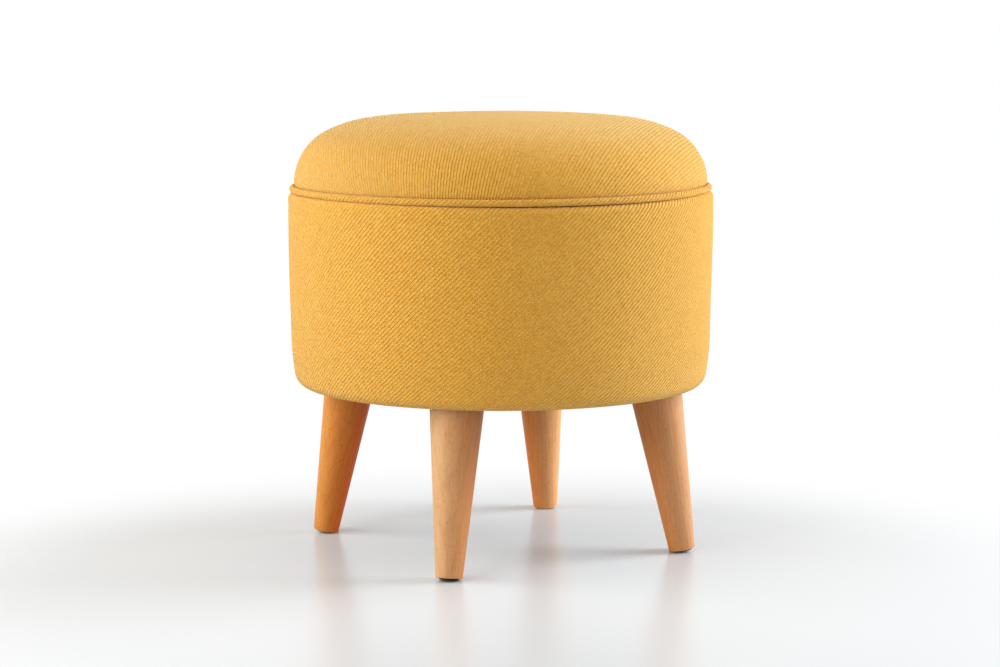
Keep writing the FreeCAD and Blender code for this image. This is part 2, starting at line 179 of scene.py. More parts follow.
def twill(name, stand, fuzz):
    """Two-up, two-down twill in uneven mustard yarn, whose warp stands up in broken diagonal ridges.
    stand tells how high, and falls where the cloth is pulled flat, and fuzz how hairy it is."""
    cloth = Finish(name)
    flat = cloth.cloth_place()
    moved = flat
    for size, amount in ((45.0, 0.0009), (430.0, 0.0005)):
        drift = cloth.noise(flat, size, 2.0, output="Color")
        moved = cloth.node("ShaderNodeVectorMath", {"operation": "MULTIPLY_ADD"}, {
            0: drift, 1: (amount, amount, 0.0), 2: moved})
    across, along, _ = cloth.split(moved)
    across = across / YARN
    along = along / YARN
    column = cloth.maths("FLOOR", across)
    row = cloth.maths("FLOOR", along)
    quarter = math.tau / REPEAT
    warp = (cloth.maths("COSINE", (across - column - 0.5) * math.pi)
            * cloth.maths("SINE", ((along - column) % REPEAT) * quarter))
    weft = (cloth.maths("COSINE", (along - row - 0.5) * math.pi)
            * cloth.maths("SINE", ((row - across) % REPEAT - 1.0) * quarter))
    ridge = cloth.maths("COSINE", (along - across - 0.5) * quarter)
    warp_tone = cloth.chance(column, cloth.maths("FLOOR", (along - column) / REPEAT))
    weft_tone = cloth.chance(row + 0.5, cloth.maths("FLOOR", (row - across - 1.0) / REPEAT))
    warp_up = cloth.smooth(warp - weft, -0.12, 0.12)
    yarn_tone = weft_tone + (warp_tone - weft_tone) * warp_up
    yarn_top = cloth.maths(
        "MAXIMUM", warp * (warp_tone * 0.6 + 0.7), weft * (weft_tone * 0.4 + 0.6) - 0.05)

    fibre = cloth.noise(flat, 1500.0, 4.0, 0.65)
    cloudy = cloth.noise(flat, 38.0, 3.0, 0.55)
    # Painted shade: one flank of each diagonal ridge is darker, as a light from one side leaves it.
    shaded_flank = cloth.maths("SINE", (along - across - 0.5) * quarter)
    level = (cloth.smooth(yarn_top, -0.35, 0.9) * 0.24 + yarn_tone * 0.27 - shaded_flank * 0.1 * stand
             + fibre * 0.26 + cloudy * 0.07 + 0.035)
    colour = cloth.node("ShaderNodeValToRGB", {"stops": [
        (0.0, (0.49, 0.18, 0.011)),
        (0.45, (0.825, 0.398, 0.045)),
        (1.0, (0.955, 0.605, 0.115))]}, {"Fac": level}, "Color")
    height = yarn_top * 0.55 + ridge * 0.62 * stand + fibre * 0.4 + yarn_tone * 0.35
    return cloth.surface({
        "Base Color": colour,
        "Roughness": 0.8 + fibre * 0.15,
        "Specular IOR Level": 0.12,
        "Sheen Weight": fuzz,
        "Sheen Roughness": 0.5,
        "Sheen Tint": (0.85, 1.0, 0.75),
        "Normal": cloth.bump(height, 0.00078),
    })


def spun_bonded(name, dark, light):
    """Non-woven cloth: matted fibres pressed together at small staggered points."""
    cloth = Finish(name)
    flat = cloth.cloth_place()
    across, along, _ = cloth.split(flat)
    pitch = 0.0021
    row = cloth.maths("FLOOR", along / pitch)
    dot_x = (across / pitch + (row % 2.0) * 0.5) % 1.0 - 0.5
    dot_y = (along / pitch) % 1.0 - 0.5
    away = cloth.maths("SQRT", dot_x * dot_x + dot_y * dot_y * 2.2)
    point = 1.0 - cloth.smooth(away, 0.16, 0.34)
    fibres = cloth.noise(flat, 1500.0, 4.0, 0.7)
    cloudy = cloth.noise(flat, 60.0, 3.0)
    colour = cloth.mix(fibres * 0.5 + cloudy * 0.6 - point * 0.35, dark, light)
    normal = cloth.bump(fibres * 0.5 - point, 0.00018)
    return cloth.surface({
        "Base Color": colour,
        "Roughness": 0.86 - point * 0.3,
        "Specular IOR Level": 0.3,
        "Sheen Weight": 0.12,
        "Normal": normal,
    })


def beech(side, deep, pale, lit_way, top_shade):
    """Turned beech under satin lacquer, with growth lines, fine pores and flecks along this leg.
    lit_way is the way that its paler side faces, in degrees round the leg from its outer side: a painted
    lit side, paler where the lamps light the leg. top_shade is how much darker the leg gets towards the
    top: painted shade under the drum."""
    wood = Finish(f"beech_{side}")
    seat = leg_seat(side).inverted()
    x, y, z = wood.split(wood.node("ShaderNodeMapping", inputs={
        0: wood.place(), "Location": seat.translation, "Rotation": seat.to_euler("XYZ")}))
    # Painted lit side: the leg is painted paler on the side that faces where the lamps light it, and
    # deeper on its shaded side.
    way = math.radians(lit_way)
    lit_side = (x * math.cos(way) + y * math.sin(way)) / (LEG_RADIUS + z * LEG_TAPER)
    u = x + 0.01 * LEG_ANGLES[side]
    broad = wood.noise(wood.join(u, y, z * 0.06), 90.0, 3.0, 0.55)
    streak = wood.noise(wood.join(u, y, z * 0.02), 420.0, 3.0, 0.6)
    fine = wood.noise(wood.join(u, y, z * 0.03), 1500.0, 2.0, 0.6)
    heart_off, heart_way, ring_width = 0.036, way + 0.9, 0.0036
    heart_x = x + heart_off * math.cos(heart_way)
    heart_y = y + heart_off * math.sin(heart_way)
    ring = wood.maths("SQRT", heart_x * heart_x + heart_y * heart_y) + broad * 0.004 + streak * 0.0006
    growth = (ring / ring_width) % 1.0
    late = wood.smooth(growth, 0.55, 0.97) * (1.0 - wood.smooth(growth, 0.97, 1.0))
    spots = wood.node("ShaderNodeTexVoronoi", inputs={
        "Vector": wood.join(u, y, z * 0.3), "Scale": 680.0}, output="Distance")
    rarely = wood.noise(wood.join(u, y, z * 0.3), 240.0, 2.0)
    fleck = (1.0 - wood.smooth(spots, 0.1, 0.34)) * wood.smooth(rarely, 0.4, 0.6)
    # The tone mixes painted light, the lit side, with the wood's own random tone.
    tone = lit_side * 0.55 + broad * 0.5 + 0.25
    dark = (deep[0] * 0.55, deep[1] * 0.45, deep[2] * 0.35)
    lines = wood.smooth(streak, 0.4, 0.75) * 0.16 + wood.smooth(fine, 0.35, 0.75) * 0.16 + late * 0.1
    # Painted shade: the leg gets darker towards its top, under the drum, most on its shaded side. This
    # shade is added into the grain lines here.
    lines = lines + (1.0 - tone) * wood.smooth(z, -0.1, -0.01) * top_shade
    grain = wood.mix(lines, wood.mix(tone, deep, pale), dark)
    return wood.surface({
        "Base Color": wood.mix(fleck * 0.6, grain, dark),
        "Roughness": 0.36 + fine * 0.12 + fleck * 0.12,
        "Specular IOR Level": 0.13,
        "Coat Weight": 0.06,
        "Coat Roughness": 0.22,
        "Normal": wood.bump(fine * 0.5 - fleck * 0.6 - late * 0.3, 0.00005),
    })


def zinc(name, base, roughness):
    """Zinc-plated steel with a fine spangle and rubbed patches."""
    metal = Finish(name)
    place = metal.place()
    spangle = metal.node("ShaderNodeTexVoronoi", inputs={"Vector": place, "Scale": 900.0}, output="Color")
    patch = metal.noise(place, 160.0, 4.0, 0.6)
    shade = metal.split(spangle)[0] * 0.5 + patch * 0.5
    darker = tuple(channel * 0.74 for channel in base)
    return metal.surface({
        "Base Color": metal.mix(shade, darker, base),
        "Metallic": 1.0,
        "Roughness": roughness - 0.08 + shade * 0.16,
        "Normal": metal.bump(shade, 0.00002),
    })


def glide_plastic():
    plastic = Finish("glide_plastic")
    place = plastic.place()
    scuffs = plastic.noise(place, 420.0, 4.0, 0.65)
    grain = plastic.noise(place, 2400.0, 2.0)
    worn = plastic.smooth(scuffs, 0.55, 0.75)
    return plastic.surface({
        "Base Color": plastic.mix(worn, (0.05, 0.027, 0.014), (0.11, 0.07, 0.045)),
        "Roughness": 0.5 + scuffs * 0.25,
        "Specular IOR Level": 0.2,
        "Normal": plastic.bump(grain, 0.00003),
    })


def plywood():
    """Birch plywood: grain along X on its faces, crossed plies on its edges."""
    board = Finish("plywood")
    ply_thickness = 0.0015
    x, y, z = board.split(board.place())
    face_grain = board.noise(board.join(x * 0.05, y, z), 260.0, 4.0, 0.6)
    ply = board.maths("FLOOR", z / ply_thickness) % 2.0
    colour = board.node("ShaderNodeValToRGB", {"stops": [
        (0.2, (0.46, 0.29, 0.145)),
        (0.8, (0.70, 0.52, 0.31))]}, {"Fac": face_grain * 0.8 + ply * 0.24}, "Color")
    return board.surface({
        "Base Color": colour, "Roughness": 0.62 + face_grain * 0.2,
        "Normal": board.bump(face_grain, 0.00008)})


def planed_pine():
    wood = Finish("pine")
    x, y, z = wood.split(wood.place())
    broad = wood.noise(wood.join(x, y, z * 0.03), 120.0, 3.0)
    rings = wood.maths("SINE", (x + y * 0.6 + broad * 0.02) * 1400.0) * 0.5 + 0.5
    colour = wood.mix(rings * 0.6 + broad * 0.4, (0.72, 0.50, 0.27), (0.56, 0.32, 0.13))
    return wood.surface({
        "Base Color": colour, "Roughness": 0.6 + broad * 0.1, "Normal": wood.bump(rings, 0.00006)})


def hardboard():
    board = Finish("hardboard")
    fibres = board.noise(board.place(), 700.0, 5.0, 0.7)
    return board.surface({
        "Base Color": board.mix(fibres, (0.13, 0.062, 0.026), (0.27, 0.145, 0.066)),
        "Roughness": 0.6 + fibres * 0.2, "Normal": board.bump(fibres, 0.00012)})


def open_foam():
    foam = Finish("foam")
    place = foam.place()
    cells = foam.node("ShaderNodeTexVoronoi", inputs={"Vector": place, "Scale": 850.0}, output="Distance")
    cloudy = foam.noise(place, 50.0, 3.0)
    return foam.surface({
        "Base Color": foam.mix(cells * 0.7 + cloudy * 0.3, (0.66, 0.58, 0.36), (0.84, 0.77, 0.54)),
        "Roughness": 0.9 - cells * 0.05, "Specular IOR Level": 0.2, "Normal": foam.bump(cells, 0.0004)})


def wadding():
    fleece = Finish("wadding")
    tufts = fleece.noise(fleece.place(), 210.0, 6.0, 0.75)
    return fleece.surface({
        "Base Color": fleece.mix(tufts, (0.74, 0.74, 0.71), (0.88, 0.88, 0.86)),
        "Roughness": 0.9 + tufts * 0.05, "Sheen Weight": 0.3, "Normal": fleece.bump(tufts, 0.0008)})


def cotton_cord():
    cord = Finish("cotton_cord")
    fibres = cord.noise(cord.place(), 2600.0, 3.0)
    return cord.surface({
        "Base Color": cord.mix(fibres, (0.60, 0.55, 0.44), (0.80, 0.76, 0.66)),
        "Roughness": 0.85 + fibres * 0.1, "Normal": cord.bump(fibres, 0.0002)})


# Meshes

class Profile:
    """A line in the half plane of radius and height, drawn on from its first point."""

    def __init__(self, radius, height):
        self.bm = bmesh.new()
        self.tip = self.bm.verts.new((radius, 0.0, height))

    def line(self, radius, height, steps=1):
        start = self.tip.co.copy()
        end = Vector((radius, 0.0, height))
        for step in range(1, steps + 1):
            self.tip = bmesh.ops.extrude_vert_indiv(self.bm, verts=[self.tip])["verts"][0]
            self.tip.co = start.lerp(end, step / steps)
        return self

    def arc(self, centre, to_angle, steps):
        """Round a centre to a polar angle in degrees, under a half turn away."""
        middle = Vector((centre[0], 0.0, centre[1]))
        offset = self.tip.co - middle
        turn = math.atan2(offset.z, offset.x) - math.radians(to_angle)
        if abs(turn) > math.pi:
            turn -= math.copysign(math.tau, turn)
        made = bmesh.ops.spin(
            self.bm, geom=[self.tip], cent=middle, axis=(0.0, 1.0, 0.0), angle=turn, steps=steps)
        self.tip = next(item for item in made["geom_last"] if isinstance(item, bmesh.types.BMVert))
        return self

    def turned(self, steps, join=0.0, closed=False):
        """The mesh that the line, closed or not, sweeps on one turn from the back, each point with
        its distance along the line. Within join of the back, in radians, the steps are finer."""
        bm = self.bm
        along = bm.verts.layers.float.new("along")
        verts = bm.verts[:]
        for before, after in zip(verts, verts[1:]):
            after[along] = before[along] + (after.co - before.co).length
        if closed:
            bm.edges.new((verts[-1], verts[0]))
        bmesh.ops.rotate(bm, verts=verts, cent=(0, 0, 0), matrix=Matrix.Rotation(BACK, 3, "Z"))
        swept = verts + bm.edges[:]
        sweeps = [(join, 12), (math.tau - 2 * join, steps), (join, 12)] if join else [(math.tau, steps)]
        for angle, count in sweeps:
            swept = bmesh.ops.spin(
                bm, geom=swept, cent=(0.0, 0.0, 0.0), axis=(0.0, 0.0, 1.0), angle=angle, steps=count,
                use_merge=not join)["geom_last"]
        bmesh.ops.remove_doubles(bm, verts=bm.verts, dist=1e-5)
        bmesh.ops.recalc_face_normals(bm, faces=bm.faces)

        def order(verts):
            """A rank by place round the pouf and along the line, because a sweep's own order varies."""
            middle = sum((vert.co for vert in verts), Vector()) / len(verts)
            turn = round((heading(middle) + 0.001) % math.tau * 1000) if off_axis(middle) > 1e-6 else -1
            return turn + sum(vert[along] for vert in verts) / len(verts)

        bm.verts.sort(key=lambda vert: order([vert]))
        bm.edges.sort(key=lambda edge: order(edge.verts))
        bm.faces.sort(key=lambda face: order(face.verts))
        return bm


def heading(point):
    """Angle round the pouf from the back, from 0 to a whole turn, anticlockwise from above."""
    return (math.atan2(point.y, point.x) - BACK) % math.tau


def within_half_turn(angle):
    """The same angle, no more than half a turn to either side."""
    return (angle + math.pi) % math.tau - math.pi


def off_axis(point):
    return math.hypot(point.x, point.y)


def outward(point):
    """The level direction from the pouf's axis to a point."""
    return Vector((point.x, point.y, 0.0)).normalized() if off_axis(point) > 1e-6 else Vector()


def lay_cloth(bm, flat):
    """Give each corner its place on the flat cloth. flat takes a vertex, its distance along
    the profile and its heading, which runs on past the join in the faces that end there."""
    along = bm.verts.layers.float["along"]
    cloth = bm.loops.layers.uv.new("cloth")
    for face in bm.faces:
        near = heading(face.calc_center_median())
        for loop in face.loops:
            turn = near + within_half_turn(heading(loop.vert.co) - near)
            loop[cloth].uv = flat(loop.vert, loop.vert[along], turn)


def wrapped(radius, down):
    """Cloth wrapped round the pouf; down tells how far along it lies from the top."""
    return lambda vert, along, turn: (radius * turn, -down(along))


def pulled_over(vert, along, turn):
    """One flat piece of cloth pulled over from the middle."""
    angle = turn + BACK
    return along * math.cos(angle), along * math.sin(angle)


DOME_STRETCH = 0.888             # flat cloth for each length that it is stretched over
DOME_DRAG = math.radians(14.9)   # dragged round, fuller on the left of the front than on the right
DOME_TWIST = math.radians(32)    # turned for each metre on its way down, and straight at STRAIGHT_AT
STRAIGHT_AT = 0.2


def pulled_over_dome(vert, along, turn):
    """The same over the dome, where it is stretched, dragged round and turned a little."""
    angle = turn + BACK
    angle += DOME_DRAG * (math.cos(angle - 3 * BACK) - 1) + DOME_TWIST * (along - STRAIGHT_AT)
    return DOME_STRETCH * along * math.cos(angle), DOME_STRETCH * along * math.sin(angle)


def laid_flat(vert, along, turn):
    return vert.co.x, vert.co.y


def make(name, bm, finish, body, slot, *stands_for, smooth=True):
    mesh = bpy.data.meshes.new(name)
    bm.to_mesh(mesh)
    bm.free()
    for polygon in mesh.polygons:
        polygon.use_smooth = smooth
    mesh.materials.append(finish)
    made = bpy.data.objects.new(name, mesh)
    scene.collection.objects.link(made)
    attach(made, body)
    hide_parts(*stands_for)
    return made


def thicken(made, thickness):
    wall = made.modifiers.new("cloth_thickness", "SOLIDIFY")
    wall.thickness = thickness
    wall.offset = -1.0
    wall.use_even_offset = True


BLOW_FRAMES = 20
EVENING_PASSES = 12


def plump(made, held, most):
    """Blow a cover out as cloth, held where it is sewn or stapled, by no more than most,
    and even the swelling out between neighbours."""
    pins = made.vertex_groups.new(name="held")
    for vertex in made.data.vertices:
        pins.add([vertex.index], held(vertex.co), "REPLACE")
    cloth = made.modifiers.new("plump", "CLOTH")
    cloth.settings.mass = 0.4
    cloth.settings.tension_stiffness = 60.0
    cloth.settings.compression_stiffness = 60.0
    cloth.settings.shear_stiffness = 40.0
    cloth.settings.bending_stiffness = 4.0
    cloth.settings.use_pressure = True
    cloth.settings.uniform_pressure_force = 4.0
    cloth.settings.vertex_group_mass = "held"
    cloth.settings.effector_weights.gravity = 0.0
    cloth.point_cache.frame_start = 1
    cloth.point_cache.frame_end = BLOW_FRAMES
    for number in range(1, BLOW_FRAMES + 1):
        scene.frame_set(number)
    blown = made.evaluated_get(bpy.context.evaluated_depsgraph_get())
    places = [vertex.co.copy() for vertex in blown.data.vertices]
    made.modifiers.remove(cloth)
    scene.frame_set(1)
    ways = [vertex.normal.copy() for vertex in made.data.vertices]
    swell = [min(most, max(0.0, way.dot(place - vertex.co)))
             for vertex, way, place in zip(made.data.vertices, ways, places)]
    for _ in range(EVENING_PASSES):
        total = swell[:]
        count = [1] * len(swell)
        for edge in made.data.edges:
            one, other = edge.vertices
            total[one] += swell[other]
            total[other] += swell[one]
            count[one] += 1
            count[other] += 1
        swell = [part / number for part, number in zip(total, count)]
    for vertex, way, amount in zip(made.data.vertices, ways, swell):
        vertex.co += way * amount


def bell(value, width):
    return math.exp(-(value / width) ** 2)


def between(value, low, high):
    """0 below low, 1 above high."""
    return min(1.0, max(0.0, (value - low) / (high - low)))


SETTLE_FROM = 0.185              # off the axis, just outside the lid's lining, which stays level
SETTLE_FULL = 0.191


def settle(point):
    """How far the parting line lies off level there: the lid sits a little low towards the front
    and a little high on the right of it."""
    turn = math.degrees(math.atan2(point.y, point.x)) % 360
    return 0.0016 * bell(turn - 320, 24) - 0.0015 * bell(turn - 236, 60)


# Sizes that the pieces share with the frame

FABRIC = 0.0014
LINING = 0.001
LEG_CIRCLE = 0.14983             # the legs' tops round the pouf's axis
LEG_TOP = 0.15174
LEG_SPLAY = math.radians(10)
LEG_LENGTH = 0.1518
LEG_RADIUS = 0.0244
FOOT_RADIUS = 0.0123
LEG_TAPER = (LEG_RADIUS - FOOT_RADIUS) / LEG_LENGTH
lid_low, lid_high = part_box("lid_cover")
drum_low, drum_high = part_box("drum_cover")
piping_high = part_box("lid_piping_sleeve")[1]
base_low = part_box("base_board")[0]

twill_finish = twill("twill", 1.0, 0.31)
lid_twill_finish = twill("lid_twill", 0.9, 0.44)
cord_finish = cotton_cord()

# Lid cover: a round lower edge over the piping, two shoulder arcs and a nearly flat crown
lid_radius = max(lid_high.x, lid_high.y)
lid_corner = 0.006
lid_side_radius = 0.0527
side_turn = math.radians(62.3)
crown_turn = math.radians(86.2)
lid_side_z = lid_low.z + lid_corner
crown_z = lid_high.z

# The radii of shoulder and crown follow from the width and height that the side arc leaves them
rest_across = lid_radius - lid_side_radius * (1 - math.cos(side_turn))
rest_up = crown_z - lid_side_z - lid_side_radius * math.sin(side_turn)
shoulder_across = math.cos(side_turn) - math.cos(crown_turn)
shoulder_up = math.sin(crown_turn) - math.sin(side_turn)
crown_across = math.cos(crown_turn)
crown_up = 1 - math.sin(crown_turn)
determinant = shoulder_across * crown_up - crown_across * shoulder_up
shoulder_radius = (rest_across * crown_up - crown_across * rest_up) / determinant
crown_radius = (shoulder_across * rest_up - rest_across * shoulder_up) / determinant
side_centre = (lid_radius - lid_side_radius, lid_side_z)
shoulder_centre = (
    side_centre[0] + (lid_side_radius - shoulder_radius) * math.cos(side_turn),
    side_centre[1] + (lid_side_radius - shoulder_radius) * math.sin(side_turn))

EASE = 0.0003                    # a cover starts this much small and is blown out to size
lid_turn_under = 0.024


def lid_cover():
    line = Profile(0.0, crown_z)
    line.arc((0.0, crown_z - crown_radius), math.degrees(crown_turn), 26)
    line.arc(shoulder_centre, math.degrees(side_turn), 18)
    line.arc(side_centre, 0.0, 18)
    line.arc((lid_radius - lid_corner, lid_side_z), -90.0, 8)
    line.line(lid_radius - lid_corner - lid_turn_under, lid_low.z, 5)
    bm = line.turned(192)
    lay_cloth(bm, pulled_over_dome)
    for vert in bm.verts:
        low = vert.co.z - lid_low.z
        reach = off_axis(vert.co)
        out = outward(vert.co)
        # Puckers over the sewn lower edge, and soft swellings where the cover is free of it
        free = between(low, 0.004, 0.02)
        pucker = noise.noise(Vector((out.x * 15.0, out.y * 15.0, low * 18.0)))
        swell = noise.noise(vert.co * 16.0)
        vert.co += out * pucker * 0.0006 * bell(low - 0.014, 0.012)
        vert.co -= vert.normal * (EASE + swell * 0.0006) * free
        vert.co.z += settle(vert.co) * bell(low, 0.03) * between(reach, SETTLE_FROM, SETTLE_FULL)
    made = make("lid_cover_twill", bm, lid_twill_finish, "lid", "twill", "lid_cover")
    plump(made, lambda place: 1.0 - between(place.z - lid_low.z, 0.006, 0.03), 2.5 * EASE)
    thicken(made, FABRIC)


# Drum cover: over the ring, down the side, round the padded rim and in under the base
drum_radius = max(drum_high.x, drum_high.y)
drum_top_round = 0.006
drum_bottom_round = 0.012
foot_in = 0.0023
rim_in = 0.0158
foot_radius = drum_radius - foot_in
rim_centre = foot_radius - rim_in
cover_top_edge = 0.1662
turn_under_edge = 0.1114
pull_radius = 0.230
pull_turn = math.radians(10)
foot_z = drum_low.z + drum_bottom_round
pull_centre = (
    foot_radius - pull_radius, foot_z + (pull_radius - drum_bottom_round) * math.sin(pull_turn))
foot_centre = (pull_centre[0] + (pull_radius - drum_bottom_round) * math.cos(pull_turn), foot_z)


def drum_cover():
    rim_turn = math.degrees(math.asin(FABRIC / (base_low.z - drum_low.z)))
    line = Profile(cover_top_edge, drum_high.z)
    line.line(drum_radius - drum_top_round, drum_high.z, 6)
    line.arc((drum_radius - drum_top_round, drum_high.z - drum_top_round), 0.0, 8)
    line.line(foot_radius, pull_centre[1], 26)
    line.arc(pull_centre, -math.degrees(pull_turn), 9)
    line.arc(foot_centre, -90.0, 12)
    line.line(rim_centre, drum_low.z, 1)
    line.arc((rim_centre, base_low.z), rim_turn - 180.0, 9)
    line.line(turn_under_edge, base_low.z - FABRIC, 12)
    bm = line.turned(216, join=math.radians(4))
    # The twill is stretched at the top and eased in towards the foot
    lay_cloth(bm, wrapped(drum_radius * 0.96, lambda along: 0.93 * along + 1.93 * along ** 3))
    for vert in bm.verts:
        reach = off_axis(vert.co)
        out = outward(vert.co)
        below = drum_high.z - vert.co.z
        side = between(reach, rim_centre + 0.004, rim_centre + 0.009) * between(below, 0.003, 0.012)
        # The sewn join at the back lies in a groove between two low folds
        from_join = abs(within_half_turn(heading(vert.co))) * drum_radius
        fold = 0.0004 * bell(from_join - 0.0045, 0.003) - 0.0013 * bell(from_join, 0.0011)
        barrel = 0.0004 * bell(below - 0.06, 0.05) - 0.0007 * bell(below, 0.014)
        vert.co += out * (noise.noise(vert.co * 11.0) * 0.0005 + fold - EASE) * side
        vert.co += out * barrel * between(reach, 0.19, 0.195)
        # The top edge stands up round the lid, least at the front, and rolls up on both sides of that
        turn = math.degrees(heading(vert.co))
        full = 0.0007 - 0.0005 * bell(turn - 166, 30)
        roll = 0.0008 * (bell(turn - 108, 28) + bell(turn - 214, 17)) * bell(reach - 0.197, 0.0016)
        raised = between(reach, SETTLE_FROM + 0.0005, SETTLE_FULL)
        vert.co.z += (settle(vert.co) + full) * bell(below, 0.03) * raised
        vert.co.z += roll * bell(below, 0.006)
    made = make("drum_cover_twill", bm, twill_finish, "drum", "twill", "drum_cover")
    plump(made, lambda place: 1.0 - between(drum_high.z - place.z, 0.006, 0.02)
          * between(place.z, foot_z, foot_z + 0.02), 2.5 * EASE)
    thicken(made, FABRIC)


piping_radius = 0.0032
piping_ring = max(piping_high.x, piping_high.y) - piping_radius
piping_z = piping_high.z - piping_radius
tail_width = 0.018
tail_edge = piping_ring - tail_width
tail_z = lid_low.z - 2 * FABRIC
piping_drop = 0.0001             # pressed down by the lid's cover


def lid_piping():
    """The cord's sleeve, with the flat tail that is stapled under the lid's edge."""
    tail_turn = -180.0 - math.degrees(math.asin((tail_z - piping_z) / piping_radius))
    centre = (piping_ring, piping_z)
    line = Profile(tail_edge, tail_z)
    line.line(piping_ring + piping_radius * math.cos(math.radians(tail_turn)), tail_z, 5)
    line.arc(centre, 0.0, 10)
    line.arc(centre, 120.0, 10)
    line.arc(centre, 179.8, 5)
    line.line(tail_edge, lid_low.z, 5)
    bm = line.turned(300, join=math.radians(2), closed=True)
    lay_cloth(bm, wrapped(piping_ring * 0.95, lambda along: -1.06 * along))
    for vert in bm.verts:
        reach = off_axis(vert.co)
        out = outward(vert.co)
        from_join = abs(within_half_turn(heading(vert.co))) * piping_ring
        middle = out * piping_ring + Vector((0.0, 0.0, piping_z))
        on_sleeve = between(reach, piping_ring - piping_radius, piping_ring)
        pinch = 0.16 * bell(from_join, 0.001) * on_sleeve
        lumpy = noise.noise(Vector((out.x * 40.0, out.y * 40.0, 3.0))) * 0.06 * on_sleeve
        vert.co += (vert.co - middle) * (lumpy - pinch)
        vert.co.z += (settle(vert.co) - piping_drop) * between(reach, SETTLE_FROM, SETTLE_FULL)
    make("lid_piping_twill", bm, twill_finish, "lid", "twill", "lid_piping_sleeve")


def piping_cord():
    """The filler cord in the sleeve, three strands twisted round each other."""
    low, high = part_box("lid_piping_cord")
    thick = (high.z - low.z) / 2
    centre = (piping_ring, piping_z)
    line = Profile(piping_ring + thick, piping_z)
    line.arc(centre, 120.0, 8).arc(centre, 240.0, 8).arc(centre, 345.0, 7)
    bm = line.turned(720, closed=True)
    for vert in bm.verts:
        out = outward(vert.co)
        middle = out * piping_ring + Vector((0.0, 0.0, piping_z))
        from_middle = vert.co - middle
        round_cord = math.atan2(from_middle.z, from_middle.dot(out))
        strand = math.cos(1.5 * round_cord + 60.0 * heading(vert.co)) ** 2
        vert.co -= from_middle * 0.22 * (1.0 - strand) ** 2
        vert.co.z += settle(vert.co) - piping_drop
    make("lid_piping_cord_twisted", bm, cord_finish, "lid", "cotton_cord", "lid_piping_cord")


# Cloths inside and underneath

lining_finish = spun_bonded("lining_cloth", (0.05, 0.046, 0.042), (0.16, 0.15, 0.14))
dust_finish = spun_bonded("dust_cloth", (0.012, 0.012, 0.012), (0.05, 0.05, 0.05))
STEP_PARTS = 8


def stepped_cloth(name, node, body, slot, finish, step_from, step_to, thickness):
    """A round cloth, flat in the middle and eased down to a lower level at its edge."""
    low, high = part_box(node)
    edge = max(high.x, high.y)
    drop = high.z - thickness - low.z
    shares = [number / STEP_PARTS for number in range(STEP_PARTS + 1)]
    step = [(step_from + (step_to - step_from) * share, drop * (0.5 - 0.5 * math.cos(math.pi * share)))
            for share in shares]
    line = Profile(0.0, high.z)
    line.line(step_from, high.z, 10)
    for reach, fall in step[1:]:
        line.line(reach, high.z - fall)
    line.line(edge, low.z + thickness, 4)
    line.line(edge, low.z)
    line.line(step_to, low.z, 4)
    for reach, fall in step[-2::-1]:
        line.line(reach, high.z - thickness - fall)
    line.line(0.0, high.z - thickness, 10)
    bm = line.turned(128)
    lay_cloth(bm, laid_flat)
    made = make(name, bm, finish, body, slot, node)


def floor_lining():
    low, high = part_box("floor_lining")
    edge = max(high.x, high.y)
    bend = 0.0008
    line = Profile(0.0, high.z).line(edge - bend, high.z, 12)
    line.arc((edge - bend, high.z - bend), 0.0, 4).line(edge, low.z).line(0.0, low.z, 12)
    bm = line.turned(128)
    lay_cloth(bm, laid_flat)
    made = make("floor_lining_cloth", bm, lining_finish, "drum", "lining_cloth", "floor_lining")


def plug_cloth():
    """One cloth pulled round the plug and over onto its top."""
    low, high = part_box("lid_plug_cover")
    edge = max(high.x, high.y)
    bend = 0.0025
    turned_over = 0.02
    over = edge - LINING - turned_over
    line = Profile(0.0, low.z).line(edge - bend, low.z, 14)
    line.arc((edge - bend, low.z + bend), 0.0, 5).line(edge, high.z - bend, 3)
    line.arc((edge - bend, high.z - bend), 90.0, 5).line(over, high.z, 4)
    bm = line.turned(160)
    lay_cloth(bm, pulled_over)
    made = make("lid_plug_cloth", bm, lining_finish, "lid", "lining_cloth", "lid_plug_cover")
    thicken(made, LINING)


def wall_lining():
    """The liner tube, turned out over the ring, its cloth joined at the back."""
    low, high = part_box("wall_lining")
    collar = max(high.x, high.y)
    collar_width, tube_wall, bend = 0.0075, 0.002, 0.0012
    mouth = collar - collar_width
    outer = mouth + tube_wall
    join_depth = join_width = 0.0009
    line = Profile(mouth, low.z).line(mouth, high.z - bend, 24)
    line.arc((mouth + bend, high.z - bend), 90.0, 5).line(collar, high.z, 3)
    line.line(collar, high.z - FABRIC).line(outer, high.z - FABRIC).line(outer, low.z)
    bm = line.turned(144, join=math.radians(3), closed=True)
    lay_cloth(bm, wrapped(mouth, lambda along: -along))
    for vert in bm.verts:
        from_join = abs(within_half_turn(heading(vert.co))) * mouth
        if off_axis(vert.co) < mouth + 0.0005:
            vert.co += outward(vert.co) * join_depth * bell(from_join, join_width)
    make("wall_lining_cloth", bm, lining_finish, "drum", "lining_cloth", "wall_lining")


# Legs and screws

def leg_seat(side):
    """Places what is drawn along a leg's axis, with the leg's top at its origin."""
    return (Matrix.Rotation(math.radians(LEG_ANGLES[side]), 4, "Z")
            @ Matrix.Translation((LEG_CIRCLE, 0.0, LEG_TOP))
            @ Matrix.Rotation(-LEG_SPLAY, 4, "Y"))


# Deep tone on the shaded side, pale tone on the lit side, the way that the painted lit side faces, and
# how much painted shade darkens the top under the drum
LEG_WOOD = {
    "back_left": ((0.55, 0.082, 0.0), (0.62, 0.255, 0.05), 30, 0.0),
    "front_left": ((0.58, 0.215, 0.06), (0.65, 0.37, 0.18), -55, 0.5),
    "front_right": ((0.7, 0.24, 0.052), (0.63, 0.33, 0.158), -5, 0.5),
    "back_right": ((0.62, 0.172, 0.02), (0.84, 0.44, 0.19), -82, 0.3),
}


